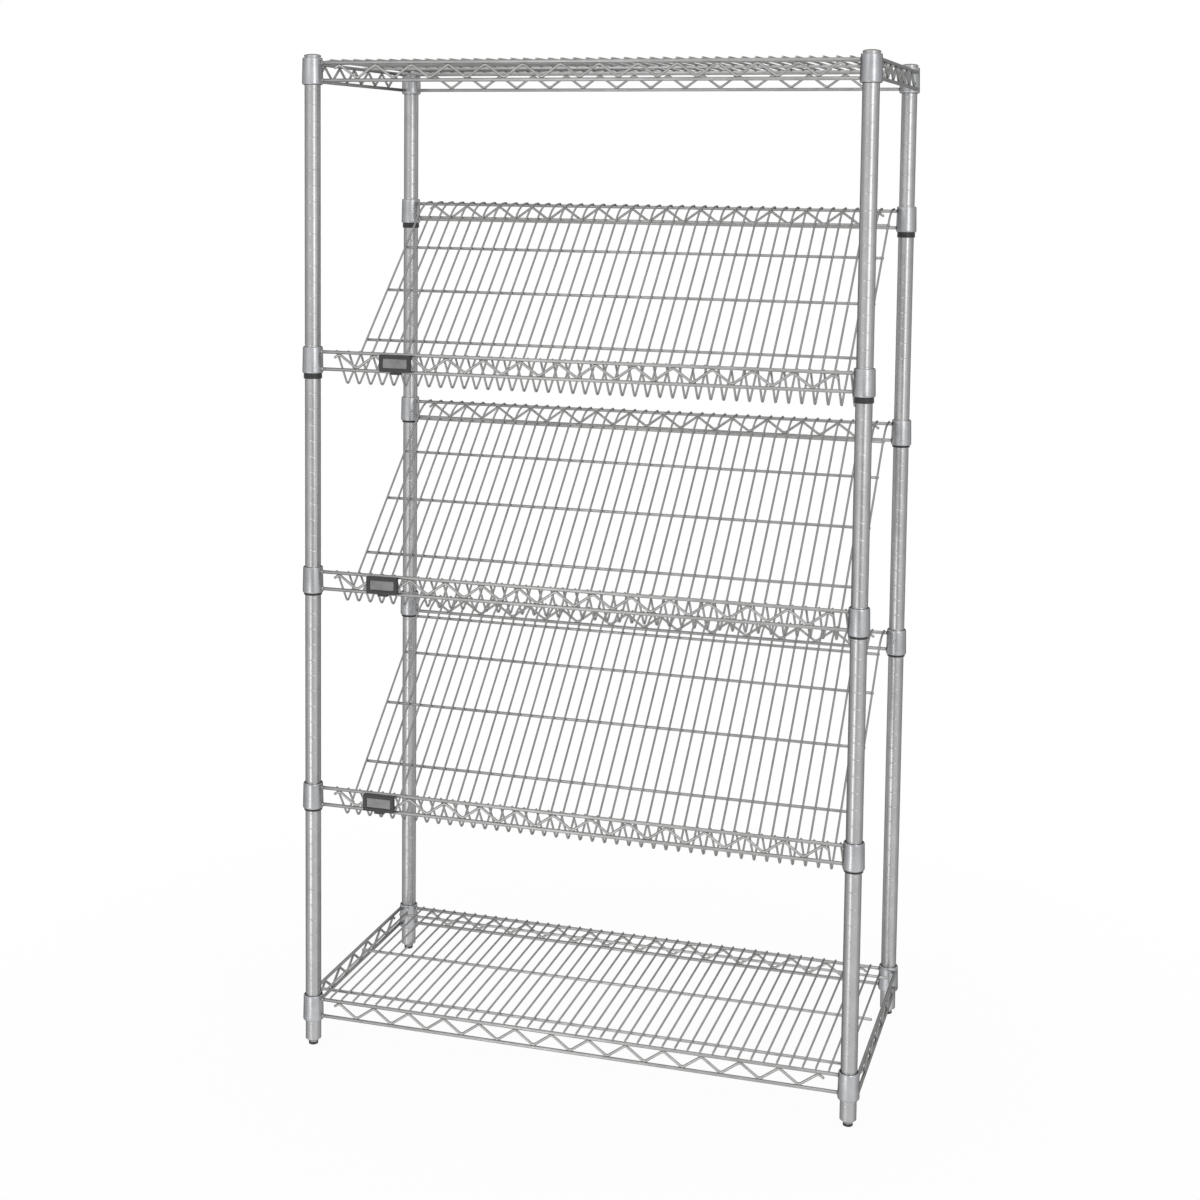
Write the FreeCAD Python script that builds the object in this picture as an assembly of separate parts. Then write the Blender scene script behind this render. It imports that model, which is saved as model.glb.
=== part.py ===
import FreeCAD, Part
import math
import os

# Slanted wire shelving rack: four grooved posts carry a flat shelf at the bottom,
# three shelves that slope down to the front and end in a lip, and a flat shelf on top.
# Millimetres. +X is the rack's right, +Y its back, +Z up. The origin lies on the
# floor under the middle of the rack.

Vector = FreeCAD.Vector

# Whole rack
OVERALL_WIDTH = 914.4  # left to right over the collars
OVERALL_DEPTH = 457.2  # front to back over the collars

# Posts
POST_DIAMETER = 25.4
POST_WALL = 1.2
POST_LENGTH = 1600.2
SEAT_PITCH = 25.4  # the posts take a shelf every 25.4 mm
FIRST_SEAT = 74.0  # post end to the top of the bottom shelf's collars

# Shelf levels, in seats above the bottom shelf
LOWER_SLANTED_SEATS = 14
MIDDLE_SLANTED_SEATS = 28
UPPER_SLANTED_SEATS = 42
TOP_SEATS = int((POST_LENGTH - FIRST_SEAT) // SEAT_PITCH)  # the last seat below the posts' top
REAR_RISE_SEATS = 9  # the back of a slanted shelf sits this many seats above its front

# Collars and the split sleeves under them
COLLAR_HEIGHT = 42.0
COLLAR_WALL = 1.9
SLEEVE_TOP_WALL = 0.9  # wall level with the collar's top
SLEEVE_TAPER = 0.0215  # gain in wall for each millimetre down
SLEEVE_HEIGHT = 44.5
FLAT_SLEEVE_BELOW = 0.6  # how far the sleeves show under a shelf's collars
SLANTED_SLEEVE_BELOW = 3.6
UPPER_SLEEVE_BELOW = 9.0
SLEEVE_SPLIT = 0.8  # gap between the two halves
SLEEVE_ON_POST = 0.1
COLLAR_ON_SLEEVE = 0.3

# Post caps
CAP_IN_COLLAR = 0.5  # lets the top shelf lift off over the caps
CAP_FLANGE = 1.2
CAP_DOME = 2.6
CAP_DOME_TOP_SHARE = 0.62
CAP_PLUG_LENGTH = 12.0
PLUG_IN_POST = 0.15

# Levelling feet
INSERT_LENGTH = 38.0
STUD_DIAMETER = 9.53
STUD_LENGTH = 34.0
STUD_IN_INSERT = 0.3
STUD_HEAD_ACROSS_FLATS = 14.3
STUD_HEAD_HEIGHT = 6.0
HEAD_UNDER_POST = 0.3
GLIDE_DIAMETER = 15.5
GLIDE_HEIGHT = 3.7
GLIDE_PIN_DIAMETER = 5.0
GLIDE_PIN_LENGTH = 3.0
GLIDE_PIN_FIT = 0.05
GLIDE_PIN_END_GAP = 0.5

# Wires, by the diameter of the round stock
RAIL_WIRE = 5.6
CROSS_WIRE = 4.8
SNAKE_WIRE = 4.2
MAT_WIRE = 3.4
RAIL_SIDES = 6  # few-sided sections stand for the round stock
THIN_WIRE_SIDES = 4

# Trusses: a top wire and a lower wire with a zigzag wire, the snake, between them
TOP_RAIL_DROP = 8.0  # collar top to the middle of the top wire
TRUSS_DEPTH = 27.5
RAIL_DROPS = (TOP_RAIL_DROP, TOP_RAIL_DROP + TRUSS_DEPTH)
SNAKE_INSET = 46.0  # post axis to the snake's first bend
SNAKE_STUB = 12.0
SNAKE_PITCH = 60.6  # about this far from one upper bend to the next
RAIL_TO_COLLAR = 0.05
SIDE_TRUSS_OFFSET = 12.8  # post axis out to the side trusses of the flat shelves

# Mats
MAT_PITCH = 20.0
MAT_INSET = 28.0  # post axis to the outermost place for a wire that passes the collars, at least
MAT_OVERHANG = 0.5  # mat wire past the middle of the rails it lies on
FLAT_CROSS_INSET = 38.0  # rail to the nearest cross wire of a flat shelf
FLAT_CROSS_OVERHANG = 14.0  # past the short wire at either side of a flat mat
SHORT_WIRE_OVERHANG = 6.0  # short wire past the cross wires that carry it
SLANTED_MAT_SHIFT = 10.0  # the slanted mats sit this far right of the middle
SLANTED_CROSS_OVERHANG = 2.4

# Side view of a slanted mat wire, from the post axes and the front collars' top
REAR_REST = 39.0  # level stretch in front of the rear rail
VALLEY_BEHIND_FRONT = 46.0
VALLEY_DROP = 65.0
LIP_END = 1.0  # wire past its weld on the front rail
SLANTED_CROSS_PLACES = (107.0, 226.0, 332.0, 410.0)  # along the slope, up from the valley

# Label holders on the front trusses of the slanted shelves
LABEL_WIDTH = 53.0
LABEL_DEPTH = 6.0
LABEL_BORDER = 6.0
LABEL_WINDOW_DEPTH = 2.6
LABEL_BACK_GAP = 0.1
LABEL_CARD_THICKNESS = 1.2
LABEL_CARD_GAP = 0.2
LABEL_HOOK_WIDTH = 16.0
LABEL_HOOK_THICKNESS = 1.4
LOWER_LABEL_PLACE = 117.5  # left post axis to the middle of the label
MIDDLE_LABEL_PLACE = 122.5
UPPER_LABEL_PLACE = 143.5

RING_SIDES = 12  # flat sides of the collars, sleeves and post caps
FOOT_SIDES = 8  # flat sides of the round parts of the feet
HEAD_SIDES = 6


def across_corners(flat_size, sides):
    """Size over the corners of a regular polygon, from its size over the flats."""
    return flat_size / math.cos(math.pi / sides)


def half_flat(diameter, sides):
    """Centre to flat of the polygon with the same area as round wire of this diameter."""
    return diameter / 2 * math.sqrt(math.pi / (sides * math.tan(math.pi / sides)))


def reach(half, sides, angle):
    """Centre to surface of such a section, at this angle from one of its flats' normals."""
    step = 2 * math.pi / sides
    off = (angle + step / 2) % step - step / 2
    return across_corners(half, sides) * math.cos(step / 2 - abs(off))


RAIL_HALF = half_flat(RAIL_WIRE, RAIL_SIDES)
CROSS_HALF = half_flat(CROSS_WIRE, THIN_WIRE_SIDES)
SNAKE_HALF = half_flat(SNAKE_WIRE, THIN_WIRE_SIDES)
MAT_HALF = half_flat(MAT_WIRE, THIN_WIRE_SIDES)

POST_RADIUS = POST_DIAMETER / 2
POST_BORE_RADIUS = POST_RADIUS - POST_WALL
POST_BOTTOM = GLIDE_HEIGHT + STUD_HEAD_HEIGHT + HEAD_UNDER_POST
POST_TOP = POST_BOTTOM + POST_LENGTH


def sleeve_outer(drop):
    """Flat-side radius of the sleeves, this far below the collar's top."""
    return POST_RADIUS + SLEEVE_ON_POST + SLEEVE_TOP_WALL + SLEEVE_TAPER * drop


def collar_inner(drop):
    return sleeve_outer(drop) + COLLAR_ON_SLEEVE


def collar_outer(drop):
    return collar_inner(drop) + COLLAR_WALL


POST_X = OVERALL_WIDTH / 2 - collar_outer(COLLAR_HEIGHT)
POST_Y = OVERALL_DEPTH / 2 - collar_outer(COLLAR_HEIGHT)

MAT_GAPS = int((2 * POST_X - 2 * MAT_INSET) // MAT_PITCH)  # gaps between a mat's wires
MAT_HALF_WIDTH = MAT_GAPS * MAT_PITCH / 2

CORNERS = {
    "front_left": (-POST_X, -POST_Y),
    "front_right": (POST_X, -POST_Y),
    "rear_left": (-POST_X, POST_Y),
    "rear_right": (POST_X, POST_Y),
}


def level(seats):
    """Height of the top of the collars that sit this many seats above the bottom shelf's."""
    return POST_BOTTOM + FIRST_SEAT + seats * SEAT_PITCH


def turned(profile, sides=RING_SIDES):
    """Body turned about Z with flat sides, from a closed list of (flat-side radius, height)."""
    rings = []
    for side in range(sides):
        angle = 2 * math.pi * (side + 0.5) / sides
        turn = Vector(math.cos(angle), math.sin(angle), 0) * across_corners(1, sides)
        rings.append([turn * radius + Vector(0, 0, height) for radius, height in profile])
    faces = []
    for ring, following in zip(rings, rings[1:] + rings[:1]):
        for i in range(len(profile)):
            corners = [ring[i - 1], ring[i], following[i], following[i - 1]]
            outline = [p for k, p in enumerate(corners) if p.distanceToPoint(corners[k - 1]) > 1e-6]
            if len(outline) > 2:
                faces.append(Part.Face(Part.makePolygon(outline + outline[:1])))
    body = Part.makeSolid(Part.makeShell(faces)).removeSplitter()
    if body.Volume < 0:
        body.reverse()
    return body


def prism(flat_size, sides, height, base):
    """Upright bar with flat sides that stands at height base."""
    half = flat_size / 2
    return turned([(0, base), (half, base), (half, base + height), (0, base + height)], sides)


def across_flats(diameter, sides):
    """Size over the flats of the polygon whose corners lie on this diameter."""
    return diameter * math.cos(math.pi / sides)


def wire(points, half, sides, normal):
    """Wire along straight runs with mitred bends; normal is square to all the runs."""
    run = (points[1] - points[0]).normalize()
    across = run.cross(normal).normalize()
    corner = across_corners(half, sides)
    outline = []
    for side in range(sides):
        angle = 2 * math.pi * (side + 0.5) / sides
        outline.append(points[0] + (across * math.cos(angle) + normal * math.sin(angle)) * corner)
    section = Part.makePolygon(outline + outline[:1])
    return Part.makePolygon(points).makePipeShell([section], True, False, 1)


def copies(shape, offsets):
    return [shape.translated(offset) for offset in offsets]


def export(node, solids):
    Part.makeCompound(solids).exportStep("parts/" + node + ".step")


# Posts and what they hold

def post():
    tube = Part.makeCylinder(POST_RADIUS, POST_LENGTH)
    bore = Part.makeCylinder(POST_BORE_RADIUS, POST_LENGTH)
    return tube.cut(bore).translated(Vector(0, 0, POST_BOTTOM))


def post_cap():
    """Domed cap whose plug fills the top of the tube."""
    flange = collar_inner(0) - CAP_IN_COLLAR
    plug = across_flats(POST_BORE_RADIUS - PLUG_IN_POST, RING_SIDES)
    shoulder = POST_TOP + CAP_FLANGE
    return turned([
        (0, POST_TOP - CAP_PLUG_LENGTH),
        (plug, POST_TOP - CAP_PLUG_LENGTH),
        (plug, POST_TOP),
        (flange, POST_TOP),
        (flange, shoulder),
        (flange * CAP_DOME_TOP_SHARE, shoulder + CAP_DOME),
        (0, shoulder + CAP_DOME),
    ])


def foot_insert():
    """Plug in the post's lower end, bored for the levelling stud."""
    outer = across_flats(POST_BORE_RADIUS - PLUG_IN_POST, FOOT_SIDES)
    bore = STUD_DIAMETER / 2 + STUD_IN_INSERT
    top = POST_BOTTOM + INSERT_LENGTH
    profile = [(bore, POST_BOTTOM), (outer, POST_BOTTOM), (outer, top), (bore, top)]
    return turned(profile, FOOT_SIDES)


def foot_stud():
    """Levelling stud with a hexagon head, bored from below for the glide's pin."""
    head_bottom = GLIDE_HEIGHT
    head_top = head_bottom + STUD_HEAD_HEIGHT
    head = prism(STUD_HEAD_ACROSS_FLATS, HEAD_SIDES, STUD_HEAD_HEIGHT, head_bottom)
    shank = prism(across_flats(STUD_DIAMETER, FOOT_SIDES), FOOT_SIDES, STUD_LENGTH, head_top)
    pin_room = GLIDE_PIN_DIAMETER + 2 * GLIDE_PIN_FIT
    socket = prism(pin_room, FOOT_SIDES, GLIDE_PIN_LENGTH + GLIDE_PIN_END_GAP, head_bottom)
    return head.fuse(shank).cut(socket).removeSplitter()


def foot_glide():
    """Glide under the stud, which turns on the glide's pin."""
    rim = across_flats(GLIDE_DIAMETER / 2, FOOT_SIDES)
    pin = across_flats(GLIDE_PIN_DIAMETER / 2, FOOT_SIDES)
    pin_top = GLIDE_HEIGHT + GLIDE_PIN_LENGTH
    profile = [(0, 0), (rim, 0), (rim, GLIDE_HEIGHT), (pin, GLIDE_HEIGHT), (pin, pin_top), (0, pin_top)]
    return turned(profile, FOOT_SIDES)


def collar():
    """Tapered collar with its top at height 0."""
    return turned([
        (collar_inner(0), 0),
        (collar_outer(0), 0),
        (collar_outer(COLLAR_HEIGHT), -COLLAR_HEIGHT),
        (collar_inner(COLLAR_HEIGHT), -COLLAR_HEIGHT),
    ])


def sleeve_halves(below_collar):
    """The two halves of a tapered sleeve; the collar that sits on it has its top at height 0."""
    bore = POST_RADIUS + SLEEVE_ON_POST
    lower = COLLAR_HEIGHT + below_collar
    upper = lower - SLEEVE_HEIGHT
    outer = sleeve_outer(lower)
    whole = turned([
        (bore, -upper),
        (sleeve_outer(upper), -upper),
        (outer, -lower),
        (bore, -lower),
    ])
    corner = Vector(-2 * outer, -SLEEVE_SPLIT / 2, -lower)
    split = Part.makeBox(4 * outer, SLEEVE_SPLIT, SLEEVE_HEIGHT, corner)
    split.rotate(Vector(0, 0, 0), Vector(0, 0, 1), 180 / RING_SIDES)
    return whole.cut(split).Solids


def corner_seats(front, rear):
    """Places of a shelf's four collars, front ones and rear ones at their own levels."""
    places = []
    for name, (x, y) in CORNERS.items():
        places.append(Vector(x, y, level(front if name.startswith("front") else rear)))
    return places


# Trusses

def rail(length):
    """Straight wire along X with its middle at the origin."""
    ends = [Vector(-length / 2, 0, 0), Vector(length / 2, 0, 0)]
    return wire(ends, RAIL_HALF, RAIL_SIDES, Vector(0, 1, 0))


def truss_rails(span):
    """Top and lower wire along X between two collars whose tops are at height 0."""
    rails = []
    for drop in RAIL_DROPS:
        at_collar = collar_outer(drop + RAIL_HALF) + RAIL_TO_COLLAR
        rails.append(rail(span - 2 * at_collar).translated(Vector(0, 0, -drop)))
    return rails


def snake_rise(half_pitch):
    """Height between the snake's bends at which their tips just meet both rails."""
    gap = TRUSS_DEPTH - 2 * RAIL_HALF
    lean = (2 * SNAKE_HALF / half_pitch) ** 2
    root = math.sqrt(gap ** 2 - (1 - lean) * (gap ** 2 - lean * half_pitch ** 2))
    return (gap - root) / (1 - lean)


def snake(span):
    """Zigzag wire along X between the rails of a truss whose collars' tops are at height 0."""
    first = SNAKE_INSET - span / 2
    half_pitches = round(-4 * first / SNAKE_PITCH)
    half_pitch = -2 * first / half_pitches
    rise = snake_rise(half_pitch)
    middle = -TOP_RAIL_DROP - TRUSS_DEPTH / 2
    points = []
    for bend in range(half_pitches + 1):
        side = 1 if bend % 2 == 0 else -1
        points.append(Vector(first + bend * half_pitch, 0, middle + side * rise / 2))
    first_run = (points[0] - points[1]).normalize()
    last_run = (points[-1] - points[-2]).normalize()
    start = points[0] + Vector(first_run.x, 0, -first_run.z) * SNAKE_STUB
    end = points[-1] + Vector(last_run.x, 0, -last_run.z) * SNAKE_STUB
    return wire([start] + points + [end], SNAKE_HALF, THIN_WIRE_SIDES, Vector(0, 1, 0))


def long_trusses(front_level, rear_level):
    """Rails and snakes of the front and rear trusses."""
    places = [Vector(0, -POST_Y, front_level), Vector(0, POST_Y, rear_level)]
    rails = [moved for one in truss_rails(2 * POST_X) for moved in copies(one, places)]
    return rails, copies(snake(2 * POST_X), places)


def side_trusses(height):
    """Rails and snakes of the trusses beside the posts; the rails' ends follow the collars."""
    room = turned([
        (0, 0),
        (collar_outer(0) + RAIL_TO_COLLAR, 0),
        (collar_outer(COLLAR_HEIGHT) + RAIL_TO_COLLAR, -COLLAR_HEIGHT),
        (0, -COLLAR_HEIGHT),
    ])
    room_places = [Vector(-POST_Y, SIDE_TRUSS_OFFSET, 0), Vector(POST_Y, SIDE_TRUSS_OFFSET, 0)]
    parts = [snake(2 * POST_Y)]
    for drop in RAIL_DROPS:
        uncut = rail(2 * POST_Y).translated(Vector(0, 0, -drop))
        parts.append(uncut.cut(copies(room, room_places)).Solids[0])
    snakes, rails = [], []
    for side in (-1, 1):
        place = Vector(side * (POST_X + SIDE_TRUSS_OFFSET), 0, height)
        beside = [one.rotated(Vector(0, 0, 0), Vector(0, 0, 1), 90 * side).translated(place) for one in parts]
        snakes.append(beside[0])
        rails += beside[1:]
    return rails, snakes


# Mats

def mat_places(shift):
    """Offsets of the mat wires along X."""
    first = shift - MAT_HALF_WIDTH
    return [Vector(first + i * MAT_PITCH, 0, 0) for i in range(MAT_GAPS + 1)]


def cross_wires(places, end, shift, lean=0.0):
    """Cross wires at the given (y, z), whose flats lean with the mat above them."""
    normal = Vector(0, math.cos(lean), math.sin(lean))
    wires = []
    for y, z in places:
        ends = [Vector(shift - end, y, z), Vector(shift + end, y, z)]
        wires.append(wire(ends, CROSS_HALF, THIN_WIRE_SIDES, normal))
    return wires


def flat_mat(height):
    """Mat and cross wires of a flat shelf whose collars' tops are at this height.

    The mat has a short wire at either side, which the collars keep from the rails.
    """
    mat_height = height - TOP_RAIL_DROP + RAIL_HALF + MAT_HALF
    cross_height = mat_height - MAT_HALF - CROSS_HALF
    cross_y = POST_Y - FLAT_CROSS_INSET
    short_x = MAT_HALF_WIDTH + MAT_PITCH
    short_places = [Vector(-short_x, 0, 0), Vector(short_x, 0, 0)]
    mat = []
    for end, places in [
        (POST_Y + MAT_OVERHANG, mat_places(0)),
        (cross_y + SHORT_WIRE_OVERHANG, short_places),
    ]:
        ends = [Vector(0, -end, mat_height), Vector(0, end, mat_height)]
        mat += copies(wire(ends, MAT_HALF, THIN_WIRE_SIDES, Vector(1, 0, 0)), places)
    cross_places = [(-cross_y, cross_height), (0, cross_height), (cross_y, cross_height)]
    return mat, cross_wires(cross_places, short_x + FLAT_CROSS_OVERHANG, 0)


def slanted_path(front_level, rear_level):
    """Points of a slanted mat wire: rear end, bend, valley and lip end, at x = 0."""
    rest = rear_level - TOP_RAIL_DROP + RAIL_HALF + MAT_HALF
    valley = Vector(0, VALLEY_BEHIND_FRONT - POST_Y, front_level - VALLEY_DROP)
    front_rail = Vector(0, -POST_Y, front_level - TOP_RAIL_DROP)
    to_rail = front_rail - valley
    pitch = math.atan2(to_rail.z, -to_rail.y)
    for _ in range(6):
        seat = reach(RAIL_HALF, RAIL_SIDES, pitch) + MAT_HALF
        pitch = math.atan2(to_rail.z, -to_rail.y) + math.asin(seat / to_rail.Length)
    to_weld = math.sqrt(to_rail.Length ** 2 - seat ** 2)
    lip = Vector(0, -math.cos(pitch), math.sin(pitch)) * (to_weld + LIP_END)
    return [
        Vector(0, POST_Y + MAT_OVERHANG, rest),
        Vector(0, POST_Y - REAR_REST, rest),
        valley,
        valley + lip,
    ]


def slanted_mat(front_level, rear_level):
    """Mat wires and cross wires of a slanted shelf."""
    path = slanted_path(front_level, rear_level)
    mat = wire(path, MAT_HALF, THIN_WIRE_SIDES, Vector(1, 0, 0))
    slope = (path[1] - path[2]).normalize()
    under = Vector(0, slope.z, -slope.y) * (MAT_HALF + CROSS_HALF)
    places = []
    for along in SLANTED_CROSS_PLACES:
        point = path[2] + slope * along + under
        places.append((point.y, point.z))
    lean = math.atan2(slope.z, slope.y)
    crosses = cross_wires(places, MAT_HALF_WIDTH + SLANTED_CROSS_OVERHANG, SLANTED_MAT_SHIFT, lean)
    return copies(mat, mat_places(SLANTED_MAT_SHIFT)), crosses


# Label holders

def label_holder(x, front_level):
    """Frame on the front truss with a hook round the lower wire, and the card in its window."""
    rail_reach = across_corners(RAIL_HALF, RAIL_SIDES)
    top = front_level - TOP_RAIL_DROP
    bottom = top - TRUSS_DEPTH
    back = -POST_Y - rail_reach - LABEL_BACK_GAP
    front = back - LABEL_DEPTH
    floor = front + LABEL_WINDOW_DEPTH
    left = x - LABEL_WIDTH / 2
    frame = Part.makeBox(LABEL_WIDTH, LABEL_DEPTH, TRUSS_DEPTH, Vector(left, front, bottom))
    window_width = LABEL_WIDTH - 2 * LABEL_BORDER
    window_height = TRUSS_DEPTH - 2 * LABEL_BORDER
    corner = Vector(left + LABEL_BORDER, front, bottom + LABEL_BORDER)
    frame = frame.cut(Part.makeBox(window_width, LABEL_WINDOW_DEPTH, window_height, corner))
    under = bottom - RAIL_HALF - LABEL_BACK_GAP
    behind = back + 2 * (rail_reach + LABEL_BACK_GAP)
    outline = [
        (back, bottom),
        (floor, bottom),
        (floor, under - LABEL_HOOK_THICKNESS),
        (behind + LABEL_HOOK_THICKNESS, under - LABEL_HOOK_THICKNESS),
        (behind + LABEL_HOOK_THICKNESS, bottom),
        (behind, bottom),
        (behind, under),
        (back, under),
    ]
    hook = [Vector(x - LABEL_HOOK_WIDTH / 2, y, z) for y, z in outline]
    clip = Part.Face(Part.makePolygon(hook + hook[:1])).extrude(Vector(LABEL_HOOK_WIDTH, 0, 0))
    card = Part.makeBox(
        window_width - 2 * LABEL_CARD_GAP,
        LABEL_CARD_THICKNESS,
        window_height - 2 * LABEL_CARD_GAP,
        Vector(corner.x + LABEL_CARD_GAP, floor - LABEL_CARD_THICKNESS, corner.z + LABEL_CARD_GAP),
    )
    return frame.fuse(clip).removeSplitter(), card


# Shelves

def export_collars(shelf, front_seats, rear_seats, sleeve_below):
    places = corner_seats(front_seats, rear_seats)
    export(shelf + "_collars", copies(collar(), places))
    halves = [half for one in sleeve_halves(sleeve_below) for half in copies(one, places)]
    export(shelf + "_sleeves", halves)


def export_flat_shelf(shelf, seats):
    height = level(seats)
    export_collars(shelf, seats, seats, FLAT_SLEEVE_BELOW)
    long_rails, long_snakes = long_trusses(height, height)
    side_rails, side_snakes = side_trusses(height)
    mat, crosses = flat_mat(height)
    export(shelf + "_long_rails", long_rails)
    export(shelf + "_side_rails", side_rails)
    export(shelf + "_snakes", long_snakes + side_snakes)
    export(shelf + "_mat_wires", mat)
    export(shelf + "_cross_wires", crosses)


def export_slanted_shelf(shelf, seats, label_place, sleeve_below):
    front_level = level(seats)
    rear_level = level(seats + REAR_RISE_SEATS)
    export_collars(shelf, seats, seats + REAR_RISE_SEATS, sleeve_below)
    rails, snakes = long_trusses(front_level, rear_level)
    mat, crosses = slanted_mat(front_level, rear_level)
    holder, card = label_holder(label_place - POST_X, front_level)
    export(shelf + "_rails", rails)
    export(shelf + "_snakes", snakes)
    export(shelf + "_mat_wires", mat)
    export(shelf + "_cross_wires", crosses)
    export(shelf + "_label_holder", [holder])
    export(shelf + "_label_card", [card])


os.makedirs("parts", exist_ok=True)

CORNER_PIECES = {
    "post": post(),
    "post_cap": post_cap(),
    "foot_insert": foot_insert(),
    "foot_stud": foot_stud(),
    "foot_glide": foot_glide(),
}
for corner_name, (corner_x, corner_y) in CORNERS.items():
    for piece_name, piece in CORNER_PIECES.items():
        export(corner_name + "_" + piece_name, copies(piece, [Vector(corner_x, corner_y, 0)]))

export_flat_shelf("bottom_shelf", 0)
for place, *settings in [
    ("lower", LOWER_SLANTED_SEATS, LOWER_LABEL_PLACE, SLANTED_SLEEVE_BELOW),
    ("middle", MIDDLE_SLANTED_SEATS, MIDDLE_LABEL_PLACE, SLANTED_SLEEVE_BELOW),
    ("upper", UPPER_SLANTED_SEATS, UPPER_LABEL_PLACE, UPPER_SLEEVE_BELOW),
]:
    export_slanted_shelf(place + "_slanted_shelf", *settings)
export_flat_shelf("top_shelf", TOP_SEATS)
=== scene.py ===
import math

import bmesh
import bpy
import numpy as np
from mathutils import Matrix, Vector


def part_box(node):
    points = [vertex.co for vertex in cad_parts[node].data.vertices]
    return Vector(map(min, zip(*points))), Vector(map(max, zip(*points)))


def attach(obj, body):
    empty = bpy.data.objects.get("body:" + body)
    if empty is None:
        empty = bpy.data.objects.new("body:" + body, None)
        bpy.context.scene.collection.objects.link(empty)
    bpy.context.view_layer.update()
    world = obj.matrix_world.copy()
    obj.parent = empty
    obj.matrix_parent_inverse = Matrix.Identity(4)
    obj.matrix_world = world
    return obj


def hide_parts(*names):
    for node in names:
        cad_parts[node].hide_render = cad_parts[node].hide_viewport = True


# Looks of the slanted wire shelving rack. Metres, in the frame's axes: +X is the rack's
# right, +Y its back, +Z up, and the origin lies on the floor under its middle.

MM = 0.001

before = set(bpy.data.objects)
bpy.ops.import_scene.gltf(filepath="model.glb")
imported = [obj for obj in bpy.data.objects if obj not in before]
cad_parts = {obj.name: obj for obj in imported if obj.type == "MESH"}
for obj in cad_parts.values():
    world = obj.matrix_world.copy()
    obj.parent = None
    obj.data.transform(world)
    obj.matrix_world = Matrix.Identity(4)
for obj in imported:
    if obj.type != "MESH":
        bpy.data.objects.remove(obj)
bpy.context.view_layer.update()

# ---------------------------------------------------------------- sizes

CORNERS = ("front_left", "front_right", "rear_left", "rear_right")
FLAT_SHELVES = ("bottom_shelf", "top_shelf")
SLANTED_SHELVES = ("lower_slanted_shelf", "middle_slanted_shelf", "upper_slanted_shelf")

# Posts
POST_RADIUS = 12.7 * MM
POST_WALL = 1.2 * MM
GROOVE_PITCH = 25.4 * MM
GROOVE_DEPTH = 0.22 * MM
GROOVE_WIDTH = 2.2 * MM
GROOVE_BELOW_COLLAR_TOP = 24.0 * MM
# Half of a groove's outline: distance from its middle over GROOVE_WIDTH, share of GROOVE_DEPTH
GROOVE_OUTLINE = ((0.7, 0), (0.5, 0), (0.35, 0.3), (0.15, 0.95))

# Collars and sleeves; their radii grow with the distance below the collar's top
SLEEVE_TOP_RADIUS = 13.7 * MM
SLEEVE_TAPER = 0.0215
COLLAR_GAP = 0.3 * MM
COLLAR_WALL = 1.9 * MM
COLLAR_ROLL_WIDTH = 1.3 * MM  # how far the collar's rolled edges come in
COLLAR_ROLL_HEIGHT = 2.8 * MM
COLLAR_ROLL_STEPS = 6
COLLAR_IN_BOX = 0.03 * MM  # margin that keeps the collars inside the part's box
SLEEVE_HEIGHT = 44.5 * MM
SLEEVE_TOP_RECESS = 1.5 * MM  # least distance of the sleeve's top under the collar's
SLEEVE_BORE_RADIUS = 12.8 * MM
SLEEVE_EDGE = 0.35 * MM
SLEEVE_SPLIT_ANGLE = math.radians(2.2)
SLEEVE_SPLIT_TURN = math.radians(15)

# Wires, as radii
RAIL_RADIUS = 2.8 * MM
CROSS_RADIUS = 2.4 * MM
SNAKE_RADIUS = 2.1 * MM
MAT_RADIUS = 1.7 * MM
TOP_RAIL_DROP = 8.0 * MM
TRUSS_DEPTH = 27.5 * MM
SNAKE_INSET = 46.0 * MM
SNAKE_STUB = 11.0 * MM
SNAKE_PITCH = 60.6 * MM
SNAKE_BEND = 7.0 * MM
SNAKE_BEND_ROUNDS = 12  # rounds that settle the height of the bends' corner points
WELD_SINK = 0.35 * MM
SIDE_TRUSS_OFFSET = 12.8 * MM  # post axis out to the side trusses
MAT_PITCH = 20.0 * MM
SHORT_WIRE_OVERHANG = 6.0 * MM  # short mat wire past the cross wires
MAT_TOP_BEND = 80.0 * MM  # wide bend of the slanted mats near the rear rail
MAT_VALLEY_BEND = 7.0 * MM
WIRE_SIDES = 14

# Weld beads, as half sizes along X, Y and Z
LONG_RAIL_WELD = (2.6 * MM, RAIL_RADIUS + 0.5 * MM, RAIL_RADIUS + 0.5 * MM)
LONG_RAIL_WELD_INSET = 0.4 * MM  # middle of the bead inward from the rail's end
SIDE_RAIL_WELD = (0.7 * RAIL_RADIUS, 2.2 * MM, RAIL_RADIUS + 0.4 * MM)
SIDE_RAIL_WELD_INSET = 0.6 * RAIL_RADIUS  # middle of the bead inward from the rail's middle
SNAKE_WELD = (3.4 * MM, 1.7 * MM, 1.1 * MM)
RAIL_WELD = (1.5 * MM, 2.3 * MM, 0.8 * MM)  # mat wire on a rail
CROSS_WELD = (1.5 * MM, 2.1 * MM, 0.7 * MM)  # mat wire on a cross wire

# Post caps
CAP_FLANGE_RADIUS = 13.7 * MM
CAP_FLANGE_HEIGHT = 0.5 * MM
CAP_PLUG_GAP = 0.15 * MM
CAP_CROWN_STEPS = 12
CAP_CROWN_FULLNESS = 0.8  # under 1 the crown is fuller than an ellipse

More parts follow.
